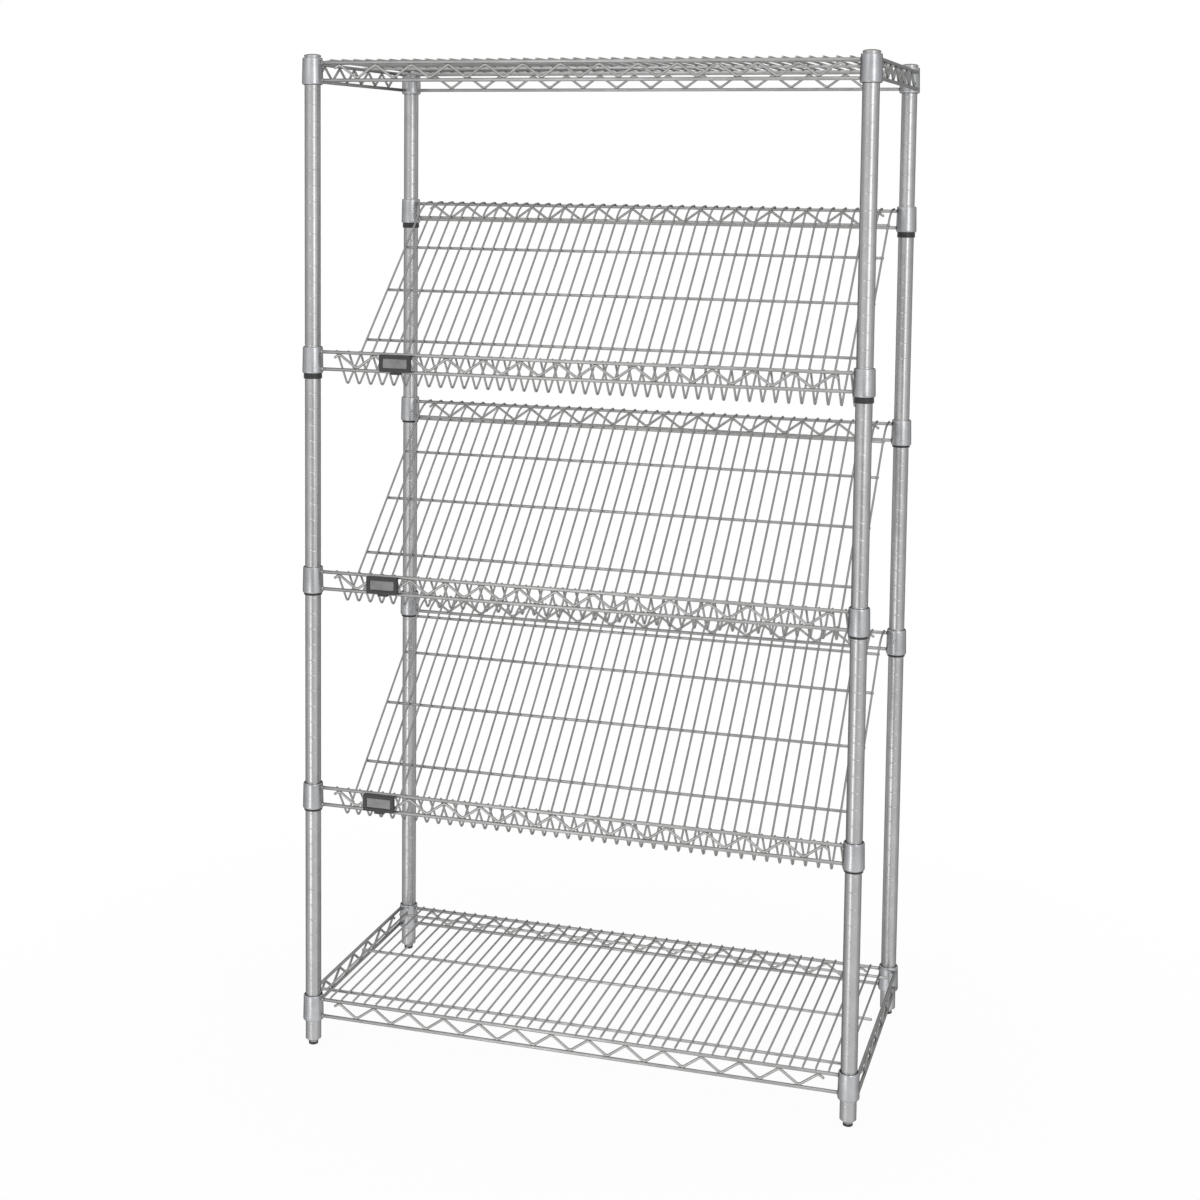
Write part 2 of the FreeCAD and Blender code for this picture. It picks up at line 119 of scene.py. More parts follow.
# Feet
INSERT_GAP = 0.2 * MM
INSERT_BORE_RADIUS = 5.0 * MM
INSERT_EDGE = 0.6 * MM
HEAD_SIDES = 6
HEAD_HEIGHT = 6.0 * MM
HEAD_CORNER_RADIUS = 8.2 * MM
HEAD_CHAMFER = 0.9 * MM
HEAD_FACE_RADIUS = 5.2 * MM
WASHER_RADIUS = 6.6 * MM  # washer face on top of the head
WASHER_HEIGHT = 0.25 * MM
THREAD_RADIUS = 4.76 * MM
THREAD_PITCH = 1.5875 * MM
THREAD_DEPTH = 0.85 * MM
THREAD_COLUMNS = 32
THREAD_ROWS_PER_TURN = 6
THREAD_TIP = 2.0 * MM  # length over which the rod's end narrows
THREAD_TIP_SHARE = 0.15  # share of the radius that the end loses
GLIDE_PIN_RADIUS = 2.3 * MM
GLIDE_PIN_CHAMFER = 0.4 * MM
# The glide's foot from the middle of its hollow underside round its rim, as (radius, height) in mm
GLIDE_OUTLINE = (
    (0.0, 0.4),
    (5.0, 0.4),
    (5.6, 0.0),
    (7.0, 0.0),
    (7.55, 0.35),
    (7.7, 1.0),
    (7.7, 2.6),
    (7.4, 3.3),
    (6.7, 3.7),
)

# How finely round forms are drawn
ARC_STEP = math.radians(10)  # least turn of one step of an arc
ARC_LEAST_STEPS = 4
POST_SEGMENTS = 56  # posts and collars
LATHE_SEGMENTS = 48
HALF_SLEEVE_SEGMENTS = 28
BEAD_SIDES = 8
BEAD_LEVELS = (-0.75, 0.0, 0.75)  # rings of a bead over its half height
WIRE_END_ANGLES = (25, 50, 90)  # rings of a wire's rounded end, in degrees from its tip
WIRE_END_LENGTH = 0.8  # length of a wire's rounded end over its radius
RECTANGLE_CORNER_STEPS = 5
SHARP_ANGLE = 40  # degrees between faces from which an edge stays sharp

# ---------------------------------------------------------------- mesh kit

STRAIGHT_TURN = math.radians(1)  # a corner that turns less stays as it is
SHARED_RUN = 0.49  # share of a straight run that an arc may take where another arc is at its far end
END_RUN = 0.95  # the same where the run's far end is the end of the wire


def arc_steps(angle):
    return max(ARC_LEAST_STEPS, int(abs(angle) / ARC_STEP))


def rounded(points, radius, closed=False):
    """Run of points with each corner turned into an arc; radius may be a list for the corners."""
    points = [Vector(p) for p in points]
    count = len(points)
    radii = radius if isinstance(radius, list) else [radius] * count
    result = []
    for i, corner in enumerate(points):
        if not closed and i in (0, count - 1):
            result.append(corner)
            continue
        to_last = points[i - 1] - corner
        to_next = points[(i + 1) % count] - corner
        turn = math.pi - to_last.angle(to_next)
        if turn < STRAIGHT_TURN:
            result.append(corner)
            continue
        room_last = (SHARED_RUN if closed or i > 1 else END_RUN) * to_last.length
        room_next = (SHARED_RUN if closed or i < count - 2 else END_RUN) * to_next.length
        reach = min(radii[i] * math.tan(turn / 2), room_last, room_next)
        arc_radius = reach / math.tan(turn / 2)
        bisector = (to_last.normalized() + to_next.normalized()).normalized()
        centre = corner + bisector * (arc_radius / math.cos(turn / 2))
        start = corner + to_last.normalized() * reach - centre
        axis = (-to_last).cross(to_next).normalized()
        steps = arc_steps(turn)
        for k in range(steps + 1):
            result.append(centre + Matrix.Rotation(turn * k / steps, 3, axis) @ start)
    return result


def sweep(points, radius, sides=WIRE_SIDES):
    """Round wire along a run of points, with its ends ground round."""
    points = [Vector(p) for p in points]
    first = (points[1] - points[0]).normalized()
    last = (points[-1] - points[-2]).normalized()
    dome = []
    for degrees in WIRE_END_ANGLES:
        angle = math.radians(degrees)
        dome.append((radius * (1 - math.cos(angle)) * WIRE_END_LENGTH, radius * math.sin(angle)))
    stations = [(points[0] + first * inset, size) for inset, size in dome]
    stations += [(p, radius) for p in points[1:-1]]
    stations += [(points[-1] - last * inset, size) for inset, size in reversed(dome)]
    side = first.orthogonal().normalized()
    vertices, rings = [], []
    for i, (place, size) in enumerate(stations):
        ahead = stations[min(i + 1, len(stations) - 1)][0]
        behind = stations[max(i - 1, 0)][0]
        tangent = (ahead - behind).normalized()
        side = (side - tangent * side.dot(tangent)).normalized()
        other = tangent.cross(side)
        rings.append(range(len(vertices), len(vertices) + sides))
        for k in range(sides):
            angle = 2 * math.pi * k / sides
            vertices.append(place + (side * math.cos(angle) + other * math.sin(angle)) * size)
    faces = [tuple(reversed(rings[0])), tuple(rings[-1])]
    for low, high in zip(rings, rings[1:]):
        faces += bridge(low, high)
    return np.array(vertices), faces


def bridge(low, high, closed=True):
    """Faces between two rows of as many vertices."""
    count = len(low)
    faces = []
    for k in range(count if closed else count - 1):
        following = (k + 1) % count
        faces.append((low[k], low[following], high[following], high[k]))
    return faces


def lathe(profile, segments=LATHE_SEGMENTS, closed=False, start=0.0, turn=2 * math.pi):
    """Body turned about Z from a profile of (radius, height), a closed ring or one ended at the axis."""
    whole = turn > 2 * math.pi - 1e-6
    columns = segments if whole else segments + 1
    rows = len(profile)
    vertices = []
    for c in range(columns):
        angle = start + turn * c / segments
        for radius, height in profile:
            vertices.append((radius * math.cos(angle), radius * math.sin(angle), height))
    faces = []
    for c in range(segments):
        here, there = c * rows, ((c + 1) % columns) * rows
        for r in range(rows if closed else rows - 1):
            above = (r + 1) % rows
            faces.append((here + r, there + r, there + above, here + above))
    if not whole:
        faces.append(tuple(range(rows)))
        faces.append(tuple(reversed(range((columns - 1) * rows, columns * rows))))
    return np.array(vertices), faces


def profile_of(points, radius):
    """Closed (radius, height) profile with its corners rounded."""
    run = rounded([(r, 0, z) for r, z in points], radius, closed=True)
    return [(p.x, p.z) for p in run]


def loops(sections):
    """Closed body through rows of points of equal count, capped at both ends."""
    count = len(sections[0])
    vertices = [p for section in sections for p in section]
    rows = [range(i * count, (i + 1) * count) for i in range(len(sections))]
    faces = [tuple(reversed(rows[0])), tuple(rows[-1])]
    for low, high in zip(rows, rows[1:]):
        faces += bridge(low, high)
    return np.array([tuple(v) for v in vertices]), faces


def moved(part, offset):
    """Part, as its vertices and faces, shifted by an offset."""
    return part[0] + np.array(offset), part[1]


def turned(part, angle):
    """Part turned about Z."""
    spin = np.array(Matrix.Rotation(angle, 3, "Z"))
    return part[0] @ spin.T, part[1]


def bead(centre, size):
    """Small rounded weld at a crossing; size is its half extents."""
    rings = []
    for level in BEAD_LEVELS:
        wide = math.sqrt(1 - level * level)
        ring = []
        for k in range(BEAD_SIDES):
            angle = 2 * math.pi * k / BEAD_SIDES
            ring.append((math.cos(angle) * wide, math.sin(angle) * wide, level))
        rings.append(ring)
    vertices, faces = loops(rings)
    return vertices * np.array(size) + np.array(centre), faces


def piece(name, parts, material, body, nodes):
    """One object from several parts, which rides on a body and stands for CAD nodes."""
    vertices, faces, offset = [], [], 0
    for part_vertices, part_faces in parts:
        vertices.append(np.asarray(part_vertices, float))
        faces += [tuple(i + offset for i in face) for face in part_faces]
        offset += len(part_vertices)
    mesh = bpy.data.meshes.new(name)
    mesh.from_pydata(np.concatenate(vertices).tolist(), [], faces)
    mesh.validate()
    outward = bmesh.new()
    outward.from_mesh(mesh)
    bmesh.ops.recalc_face_normals(outward, faces=outward.faces)
    outward.to_mesh(mesh)
    outward.free()
    mesh.polygons.foreach_set("use_smooth", [True] * len(mesh.polygons))
    mesh.set_sharp_from_angle(angle=math.radians(SHARP_ANGLE))
    mesh.update()
    obj = bpy.data.objects.new(name, mesh)
    bpy.context.scene.collection.objects.link(obj)
    mesh.materials.append(material)
    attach(obj, body)
    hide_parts(*nodes)
    return obj


# ---------------------------------------------------------------- materials

NOISE_LOW, NOISE_HIGH = 0.3, 0.7  # noise values that stand for the ends of a tint or a spread


class Nodes:
    """Short way to build a node material round one principled shader."""

    def __init__(self, name):
        self.material = bpy.data.materials.new(name)
        self.material.use_nodes = True
        self.tree = self.material.node_tree
        self.shader = self.tree.nodes["Principled BSDF"]

    def add(self, kind, inputs=None, **settings):
        node = self.tree.nodes.new(kind)
        for key, value in settings.items():
            setattr(node, key, value)
        for key, value in (inputs or {}).items():
            if isinstance(value, bpy.types.NodeSocket):
                self.tree.links.new(value, node.inputs[key])
            else:
                node.inputs[key].default_value = value
        return node

    def place(self, scale):
        """Object coordinates scaled along each axis."""
        where = self.add("ShaderNodeTexCoord").outputs["Object"]
        return self.add("ShaderNodeMapping", {"Vector": where, "Scale": scale}).outputs["Vector"]

    def noise(self, scale, detail=3.0, stretch=(1, 1, 1)):
        inputs = {"Vector": self.place(stretch), "Scale": scale, "Detail": detail}
        return self.add("ShaderNodeTexNoise", inputs).outputs["Fac"]

    def spread(self, value, low, high):
        """A noise value spread from low to high."""
        inputs = {"Value": value, "From Min": NOISE_LOW, "From Max": NOISE_HIGH}
        inputs |= {"To Min": low, "To Max": high}
        return self.add("ShaderNodeMapRange", inputs).outputs["Result"]

    def tint(self, value, dark, light):
        """A noise value spread from one colour to another."""
        ramp = self.add("ShaderNodeValToRGB", {"Fac": value})
        ramp.color_ramp.elements[0].position = NOISE_LOW
        ramp.color_ramp.elements[0].color = (*dark, 1)
        ramp.color_ramp.elements[1].position = NOISE_HIGH
        ramp.color_ramp.elements[1].color = (*light, 1)
        return ramp.outputs["Color"]

    def bump(self, value, distance, strength=1.0):
        inputs = {"Height": value, "Distance": distance, "Strength": strength}
        return self.add("ShaderNodeBump", inputs).outputs["Normal"]

    def finish(self, colour, roughness, normal=None, **fixed):
        self.tree.links.new(colour, self.shader.inputs["Base Color"])
        self.tree.links.new(roughness, self.shader.inputs["Roughness"])
        if normal:
            self.tree.links.new(normal, self.shader.inputs["Normal"])
        for key, value in fixed.items():
            self.shader.inputs[key.replace("_", " ")].default_value = value
        return self.material


def plated(name, dark, light, rough, stretch=(1, 1, 1), edge=0.25, relief=0.02):
    """Bright plated steel: slight clouding, fine drawing lines and a dull edge; relief is in mm."""
    n = Nodes(name)
    clouds = n.noise(scale=38.0, detail=4.0)
    lines = n.noise(scale=900.0, detail=3.0, stretch=stretch)
    colour = n.tint(clouds, dark, light)
    roughness = n.spread(lines, *rough)
    normal = n.bump(lines, distance=relief * MM, strength=0.6)
    return n.finish(colour, roughness, normal, Metallic=1.0, Specular_Tint=(edge, edge, edge, 1))


def moulded(name, dark, light, rough, coat=0.0):
    """Moulded plastic with a fine grain."""
    n = Nodes(name)
    clouds = n.noise(scale=60.0, detail=4.0)
    colour = n.tint(clouds, dark, light)
    skin = n.noise(scale=1500.0, detail=2.0)
    roughness = n.spread(skin, *rough)
    normal = n.bump(skin, distance=0.04 * MM, strength=0.5)
    return n.finish(colour, roughness, normal, Coat_Weight=coat, Coat_Roughness=0.08)


def make_materials():
    lengthwise = (1, 1, 0.02)
    return {
        "post": plated(
            "post_chrome", (0.42, 0.42, 0.42), (0.48, 0.48, 0.48),
            rough=(0.22, 0.3), stretch=lengthwise, relief=0.004,
        ),
        "cap": plated(
            "cap_chrome", (0.4, 0.4, 0.4), (0.5, 0.5, 0.5),
            rough=(0.18, 0.3),
        ),
        "collar": plated(
            "collar_chrome", (0.4, 0.405, 0.42), (0.5, 0.505, 0.52),
            rough=(0.22, 0.34), relief=0.04,
        ),
        "wire": plated(
            "wire_chrome", (0.36, 0.36, 0.355), (0.45, 0.45, 0.445),
            rough=(0.24, 0.36), edge=0.4,
        ),
        # Painted light: the wire chrome again, with a lighter colour and edge, because the flat mats'
        # wires catch darker reflections
        "flat_mat": plated(
            "flat_mat_chrome_painted_lighter", (0.43, 0.43, 0.425), (0.53, 0.53, 0.525),
            rough=(0.24, 0.36), edge=0.45,
        ),
        "sleeve": moulded(
            "sleeve_plastic", (0.018, 0.018, 0.02), (0.03, 0.03, 0.032),
            rough=(0.38, 0.5),
        ),
        "insert": moulded(
            "insert_plastic", (0.02, 0.02, 0.021), (0.04, 0.04, 0.042),
            rough=(0.5, 0.65),
        ),
        "stud": plated(
            "stud_steel", (0.25, 0.25, 0.25), (0.36, 0.36, 0.35),
            rough=(0.3, 0.45),
        ),
        "glide": moulded(
            "glide_plastic", (0.03, 0.03, 0.031), (0.055, 0.055, 0.057),
            rough=(0.45, 0.6),
        ),
        "label": moulded(
            "label_plastic", (0.026, 0.027, 0.029), (0.038, 0.039, 0.042),
            rough=(0.3, 0.42),
        ),
        "card": moulded(
            "label_card", (0.2, 0.2, 0.205), (0.3, 0.3, 0.305),
            rough=(0.35, 0.5), coat=0.4,
        ),
    }


MATERIALS = make_materials()

# ---------------------------------------------------------------- places from the frame


def middle(node):
    low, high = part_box(node)
    return (low + high) / 2


def post_place(corner):
    """Where a post's axis meets the floor."""
    place = middle(corner + "_post")
    return Vector((place.x, place.y, 0))


POSTS = {corner: post_place(corner) for corner in CORNERS}
POST_LOW, POST_HIGH = (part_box("front_left_post")[i].z for i in (0, 1))
COLLAR_LOW, COLLAR_HIGH = (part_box("bottom_shelf_collars")[i].z for i in (0, 1))
COLLAR_HEIGHT = COLLAR_HIGH - COLLAR_LOW
LEFT_X, RIGHT_X = POSTS["front_left"].x, POSTS["front_right"].x
FRONT_Y, REAR_Y = POSTS["front_left"].y, POSTS["rear_left"].y


def levels(shelf):
    """Height of the collars' tops at the front and at the back of a shelf."""
    low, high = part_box(shelf + "_collars")
    return low.z + COLLAR_HEIGHT, high.z


def seats(shelf):
    """Places of a shelf's four collars, at the height of their tops."""
    front, rear = levels(shelf)
    return [POSTS[c] + Vector((0, 0, front if c.startswith("front") else rear)) for c in CORNERS]


# ---------------------------------------------------------------- posts, caps and feet


def post_part():
    """Tube with a shallow rounded groove at every seat."""
    groove_profile = [(-share, depth) for share, depth in GROOVE_OUTLINE]
    groove_profile += reversed(GROOVE_OUTLINE)
    outer = [(POST_RADIUS, POST_LOW)]
    first = COLLAR_HIGH - GROOVE_BELOW_COLLAR_TOP
    groove = first - math.floor((first - POST_LOW) / GROOVE_PITCH) * GROOVE_PITCH
    while groove < POST_HIGH - GROOVE_WIDTH:
        for share, depth in groove_profile:
            height = groove + share * GROOVE_WIDTH
            if height > POST_LOW:
                outer.append((POST_RADIUS - depth * GROOVE_DEPTH, height))
        groove += GROOVE_PITCH
    outer.append((POST_RADIUS, POST_HIGH))
    inner = [(POST_RADIUS - POST_WALL, POST_HIGH), (POST_RADIUS - POST_WALL, POST_LOW)]
    return lathe(outer + inner, POST_SEGMENTS, closed=True)


def cap_part():
    """Domed cap: plug, flange and a low crown."""
    low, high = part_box("front_left_post_cap")
    flange = CAP_FLANGE_RADIUS
    plug = POST_RADIUS - POST_WALL - CAP_PLUG_GAP
    shoulder = POST_HIGH + CAP_FLANGE_HEIGHT
    profile = [(0, low.z), (plug, low.z), (plug, POST_HIGH), (flange, POST_HIGH), (flange, shoulder)]
    crown = high.z - shoulder
    for k in range(1, CAP_CROWN_STEPS):
        angle = math.radians(90 / CAP_CROWN_STEPS * k)
        radius = flange * math.cos(angle) ** CAP_CROWN_FULLNESS
        profile.append((radius, shoulder + crown * math.sin(angle)))
    profile.append((0, high.z))
    return lathe(profile)


def insert_part():
    """Ring in the post's lower end that holds the stud."""
    low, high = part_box("front_left_foot_insert")
    outer = POST_RADIUS - POST_WALL - INSERT_GAP
    bore = INSERT_BORE_RADIUS
    ring = [(bore, low.z), (outer, low.z), (outer, high.z), (bore, high.z)]
    return lathe(profile_of(ring, INSERT_EDGE), closed=True)


def stud_parts():
    """Chamfered hexagon head, its washer face and a rod with a real thread."""
    low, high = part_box("front_left_foot_stud")
    head_top = low.z + HEAD_HEIGHT
    head = [
        (0, low.z),
        (HEAD_FACE_RADIUS, low.z),
        (HEAD_CORNER_RADIUS - HEAD_CHAMFER, low.z),
        (HEAD_CORNER_RADIUS, low.z + 0.5 * HEAD_CHAMFER),
        (HEAD_CORNER_RADIUS, head_top - 0.5 * HEAD_CHAMFER),
        (HEAD_CORNER_RADIUS - HEAD_CHAMFER, head_top),
        (HEAD_FACE_RADIUS, head_top),
        (0, head_top),
    ]
    hexagon = lathe(head, HEAD_SIDES, start=math.pi / HEAD_SIDES)
    washer_top = head_top + WASHER_HEIGHT
    rim = [(WASHER_RADIUS, head_top), (WASHER_RADIUS, washer_top)]
    washer = lathe([(0, head_top)] + rim + [(0, washer_top)])
    return [hexagon, washer, thread_part(head_top, high.z)]


def thread_part(bottom, top):
    """Threaded rod whose end narrows a little."""
    length = top - bottom
    rows = int(length / THREAD_PITCH * THREAD_ROWS_PER_TURN)
    sections = []
    for r in range(rows + 1):
        height = bottom + length * r / rows
        taper = min(1.0, (top - height) / THREAD_TIP)
        section = []
        for c in range(THREAD_COLUMNS):
            phase = (height / THREAD_PITCH - c / THREAD_COLUMNS) % 1.0
            radius = THREAD_RADIUS - THREAD_DEPTH * abs(2 * phase - 1)
            radius *= 1 - THREAD_TIP_SHARE + THREAD_TIP_SHARE * taper
            angle = 2 * math.pi * c / THREAD_COLUMNS
            section.append((radius * math.cos(angle), radius * math.sin(angle), height))
        sections.append(section)
    return loops(sections)


def glide_part():
    """Foot with a rounded rim and the pin that the stud turns on."""
    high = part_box("front_left_foot_glide")[1]
    profile = [(radius * MM, height * MM) for radius, height in GLIDE_OUTLINE]
    pin = GLIDE_PIN_RADIUS
    profile += [(pin, profile[-1][1]), (pin, high.z - GLIDE_PIN_CHAMFER)]
    profile += [(pin - GLIDE_PIN_CHAMFER, high.z), (0, high.z)]
    return lathe(profile)


def build_corners():
    """Each post with its cap, foot insert, levelling stud and glide."""
    parts = {
        "post": ([post_part()], "post", "post_chrome"),
        "post_cap": ([cap_part()], "cap", "cap_chrome"),
        "foot_insert": ([insert_part()], "insert", "insert_plastic"),
        "foot_stud": (stud_parts(), "stud", "stud_steel"),
        "foot_glide": ([glide_part()], "glide", "glide_plastic"),
    }
    bodies = {"foot_stud": "_stud", "foot_glide": "_glide"}
    for corner in CORNERS:
        for kind, (shapes, material, slot) in parts.items():
            node = corner + "_" + kind
            body = corner + bodies[kind] if kind in bodies else "frame"
            placed = [moved(shape, POSTS[corner]) for shape in shapes]
            piece(node + "_piece", placed, MATERIALS[material], body, [node])


# ---------------------------------------------------------------- collars and sleeves


def sleeve_radius(drop):
    """Outer radius of a sleeve at this distance below the collar's top."""
    return SLEEVE_TOP_RADIUS + SLEEVE_TAPER * drop


def collar_radius(drop):
    """Outer radius of a collar at this distance below its top."""
    return sleeve_radius(drop) + COLLAR_GAP + COLLAR_WALL


def collar_part():
    """Tapered collar with both outer edges rolled in, top at height 0."""
    profile = [(sleeve_radius(drop) + COLLAR_GAP, -drop) for drop in (COLLAR_HEIGHT, 0)]
    for drop, side in ((COLLAR_ROLL_HEIGHT, 1), (COLLAR_HEIGHT - COLLAR_ROLL_HEIGHT, -1)):
        rim = collar_radius(drop) - COLLAR_ROLL_WIDTH - COLLAR_IN_BOX
        for k in range(COLLAR_ROLL_STEPS + 1):
            step = k if side > 0 else COLLAR_ROLL_STEPS - k
            angle = math.radians(90 / COLLAR_ROLL_STEPS * step)
            radius = rim + COLLAR_ROLL_WIDTH * math.sin(angle)
            profile.append((radius, side * COLLAR_ROLL_HEIGHT * math.cos(angle) - drop))
    return lathe(profile, POST_SEGMENTS, closed=True)


def sleeve_parts(shelf):
    """Two halves of a split sleeve; the collar that sits on it has its top at height 0."""
    lower = levels(shelf)[0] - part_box(shelf + "_sleeves")[0].z
    upper = max(lower - SLEEVE_HEIGHT, SLEEVE_TOP_RECESS)
    ring = [
        (SLEEVE_BORE_RADIUS, -upper),
        (SLEEVE_BORE_RADIUS, -lower),
        (sleeve_radius(lower), -lower),
        (sleeve_radius(upper), -upper),
    ]
    profile = profile_of(ring, SLEEVE_EDGE)
    turn = math.pi - SLEEVE_SPLIT_ANGLE
    halves = []
    for side in (0, 1):
        start = SLEEVE_SPLIT_TURN + SLEEVE_SPLIT_ANGLE / 2 + side * math.pi
        halves.append(lathe(profile, HALF_SLEEVE_SEGMENTS, closed=True, start=start, turn=turn))
    return halves


def build_collars(shelf):
    """Collars, which lift with their shelf, and the sleeves, which stay on the posts."""
    places = seats(shelf)
    collar = collar_part()
    collars = [moved(collar, place) for place in places]
    name = shelf + "_collars"
    piece(name + "_piece", collars, MATERIALS["collar"], shelf, [name])
    halves = [moved(half, place) for half in sleeve_parts(shelf) for place in places]
    name = shelf + "_sleeves"
    piece(name + "_piece", halves, MATERIALS["sleeve"], "frame", [name])


# ---------------------------------------------------------------- trusses

RAIL_HEIGHTS = (-TOP_RAIL_DROP, -TOP_RAIL_DROP - TRUSS_DEPTH)  # from the collar's top


def long_rail_parts(span):
    """Top and lower wire of a truss along X, with their welds to the collars."""
    parts = []
    for height in RAIL_HEIGHTS:
        end = span / 2 - collar_radius(-height) + WELD_SINK
        parts.append(sweep([(-end, 0, height), (end, 0, height)], RAIL_RADIUS))
        for side in (-1, 1):
            parts.append(bead((side * (end - LONG_RAIL_WELD_INSET), 0, height), LONG_RAIL_WELD))
    return parts


def side_rail_parts(span):
    """Top and lower wire of a truss along Y beside the posts, cut to follow the collars."""
    parts = []
    for height in RAIL_HEIGHTS:
        end = []
        for k in range(WIRE_SIDES):
            angle = 2 * math.pi * k / WIRE_SIDES
            x = SIDE_TRUSS_OFFSET + RAIL_RADIUS * math.cos(angle)
            z = height + RAIL_RADIUS * math.sin(angle)
            inside = (collar_radius(-z) - WELD_SINK) ** 2 - x ** 2
            end.append((x, span / 2 - math.sqrt(max(inside, 0)), z))
        parts.append(loops([[(x, -y, z) for x, y, z in end], end]))
        inner = SIDE_TRUSS_OFFSET - SIDE_RAIL_WELD_INSET
        touch = span / 2 - math.sqrt(collar_radius(-height) ** 2 - inner ** 2)
        for side in (-1, 1):
            parts.append(bead((inner, side * touch, height), SIDE_RAIL_WELD))
    return parts


def bend_side(bend):
    """One where a snake's bend lies at the top wire, minus one at the lower wire."""
    return 1 if bend % 2 == 0 else -1


def snake_parts(span):
    """Zigzag wire of a truss along X, with rounded bends welded to both rails."""
    rise = TRUSS_DEPTH - 2 * (RAIL_RADIUS + SNAKE_RADIUS - WELD_SINK)
    first = SNAKE_INSET - span / 2
    half_pitches = round(-4 * first / SNAKE_PITCH)
    half_pitch = -2 * first / half_pitches
    corner_rise = rise
    for _ in range(SNAKE_BEND_ROUNDS):
        lean = math.atan2(corner_rise, half_pitch)
        corner_rise = rise + 2 * SNAKE_BEND * (1 / math.cos(lean) - 1)
    centre = -TOP_RAIL_DROP - TRUSS_DEPTH / 2
    corners = []
    for bend in range(half_pitches + 1):
        height = centre + bend_side(bend) * corner_rise / 2
        corners.append(Vector((first + bend * half_pitch, 0, height)))
    lean = math.atan2(corner_rise, half_pitch)
    stub = Vector((math.cos(lean), 0, math.sin(lean))) * SNAKE_STUB
    start = corners[0] - stub
    end = corners[-1] + Vector((stub.x, 0, -bend_side(half_pitches) * stub.z))
    parts = [sweep(rounded([start] + corners + [end], SNAKE_BEND), SNAKE_RADIUS)]
    for bend, corner in enumerate(corners):
        height = centre + bend_side(bend) * (TRUSS_DEPTH / 2 - RAIL_RADIUS)
        parts.append(bead((corner.x, 0, height), SNAKE_WELD))
    return parts


def long_truss(shape_parts, shelf):
    """Parts made round the rack's middle, at the front and at the back of a shelf."""
    front, rear = levels(shelf)
    places = [Vector((0, FRONT_Y, front)), Vector((0, REAR_Y, rear))]
    return [moved(part, place) for part in shape_parts for place in places]


def side_truss(shape_parts, shelf):
    """Parts made beside the right posts' axes, on the right and, turned about, on the left."""
    height = levels(shelf)[0]
    placed = []
    for part in shape_parts:
        placed.append(moved(part, (RIGHT_X, 0, height)))
        placed.append(moved(turned(part, math.pi), (LEFT_X, 0, height)))
    return placed


def build_wires(name, parts, shelf, finish="wire"):
    """All wires of one node, which go with their shelf."""
    piece(name + "_piece", parts, MATERIALS[finish], shelf, [name])


# ---------------------------------------------------------------- mats


def mat_offsets(shelf):
    """Places of the mat wires along X, read from the frame."""
    low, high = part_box(shelf + "_mat_wires")
    gaps = round((high.x - low.x - 2 * MAT_RADIUS) / MAT_PITCH)
    first = (low.x + high.x - gaps * MAT_PITCH) / 2
    return [first + i * MAT_PITCH for i in range(gaps + 1)]


def weld_row(offsets, y, z, size, lean=0.0):
    """Small welds where the mat wires cross one wire along X."""
    spot = bead((0, 0, 0), size)
    tilt = np.array(Matrix.Rotation(lean, 3, "X"))
    spot = (spot[0] @ tilt.T, spot[1])
    return [moved(spot, (x, y, z)) for x in offsets]


def cross_wire(left, right, y, z):
    return sweep([(left, y, z), (right, y, z)], CROSS_RADIUS)


def build_flat_mat(shelf):
    """Straight mat wires on three cross wires; the two outermost wires stop short of the posts."""
    offsets = mat_offsets(shelf)
    low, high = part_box(shelf + "_mat_wires")
    height = (low.z + high.z) / 2
    wire = sweep([(0, low.y, height), (0, high.y, height)], MAT_RADIUS)
    wires = [moved(wire, (x, 0, 0)) for x in offsets[1:-1]]
    contact = height - MAT_RADIUS
    for y in (FRONT_Y, REAR_Y):
        wires += weld_row(offsets[1:-1], y, contact, RAIL_WELD)
    low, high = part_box(shelf + "_cross_wires")
    places = [low.y + CROSS_RADIUS, (low.y + high.y) / 2, high.y - CROSS_RADIUS]
    short_ends = (places[0] - SHORT_WIRE_OVERHANG, places[2] + SHORT_WIRE_OVERHANG)
    short_wire = sweep([(0, y, height) for y in short_ends], MAT_RADIUS)
    wires += [moved(short_wire, (x, 0, 0)) for x in (offsets[0], offsets[-1])]
    cross_height = contact - CROSS_RADIUS + WELD_SINK
    crosses = [cross_wire(low.x, high.x, y, cross_height) for y in places]
    for y in places:
        crosses += weld_row(offsets, y, contact, CROSS_WELD)
    # The flat mat and its cross wires take the lighter chrome, which is painted light
    build_wires(shelf + "_mat_wires", wires, shelf, "flat_mat")
    build_wires(shelf + "_cross_wires", crosses, shelf, "flat_mat")


# Side view of a slanted mat, as the part's source has it
REAR_REST = 39.0 * MM
VALLEY_BEHIND_FRONT = 46.0 * MM
VALLEY_DROP = 65.0 * MM
MAT_OVERHANG = 0.5 * MM
LIP_END = 1.0 * MM
SLANTED_CROSS_PLACES = (107.0 * MM, 226.0 * MM, 332.0 * MM, 410.0 * MM)


def slanted_path(shelf):
    """Corner points of a slanted mat wire from its rear end to the end of its lip."""
    front = levels(shelf)[0]
    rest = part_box(shelf + "_mat_wires")[1].z - MAT_RADIUS - WELD_SINK
    valley = Vector((0, FRONT_Y + VALLEY_BEHIND_FRONT, front - VALLEY_DROP))
    rail = Vector((0, FRONT_Y, front - TOP_RAIL_DROP))
    to_rail = rail - valley
    seat = RAIL_RADIUS + MAT_RADIUS - WELD_SINK
    pitch = math.atan2(to_rail.z, -to_rail.y) + math.asin(seat / to_rail.length)
    lip_length = math.sqrt(to_rail.length ** 2 - seat ** 2) + LIP_END
    return [
        Vector((0, REAR_Y + MAT_OVERHANG, rest)),
        Vector((0, REAR_Y - REAR_REST, rest)),
        valley,
        valley + Vector((0, -math.cos(pitch), math.sin(pitch))) * lip_length,
    ]


